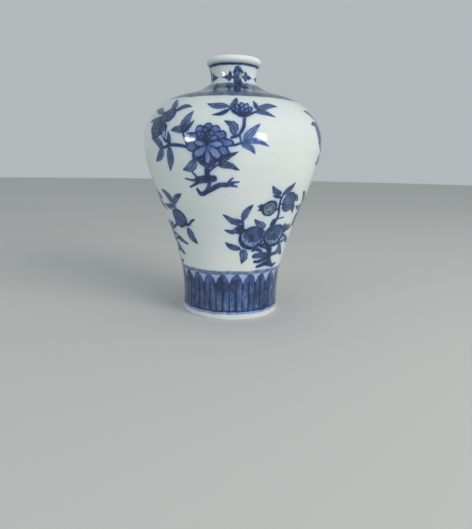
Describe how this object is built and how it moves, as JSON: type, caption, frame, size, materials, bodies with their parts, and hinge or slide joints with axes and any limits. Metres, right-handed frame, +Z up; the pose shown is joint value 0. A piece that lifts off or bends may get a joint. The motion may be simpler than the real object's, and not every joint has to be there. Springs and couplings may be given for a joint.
{
  "type": "porcelain vase",
  "caption": "High-shouldered porcelain vase with a narrow neck, rolled lip, tapering body and recessed foot ring, glazed white and painted in blue with fruit and leaf sprays.",
  "frame": {"origin": "centre of the foot's underside, on the surface that the vase stands on", "axes": "+Z up along the vase's axis; the fullest painted spray faces -Y"},
  "size_m": [0.2129, 0.213, 0.3],
  "materials": {
    "foot_porcelain": "clear gloss glaze, standing ring bare",
    "body_porcelain": "clear bluish gloss glaze over blue painting",
    "neck_porcelain": "clear bluish gloss glaze over blue painting",
    "luting_clay": "fired porcelain clay under thin glaze"
  },
  "bodies": {
    "root": {"foot": "foot_porcelain", "lower_body": "body_porcelain", "upper_body": "body_porcelain", "neck": "neck_porcelain", "foot_luting_coil": "luting_clay", "body_luting_coil": "luting_clay", "neck_luting_coil": "luting_clay"}
  },
  "joints": []
}
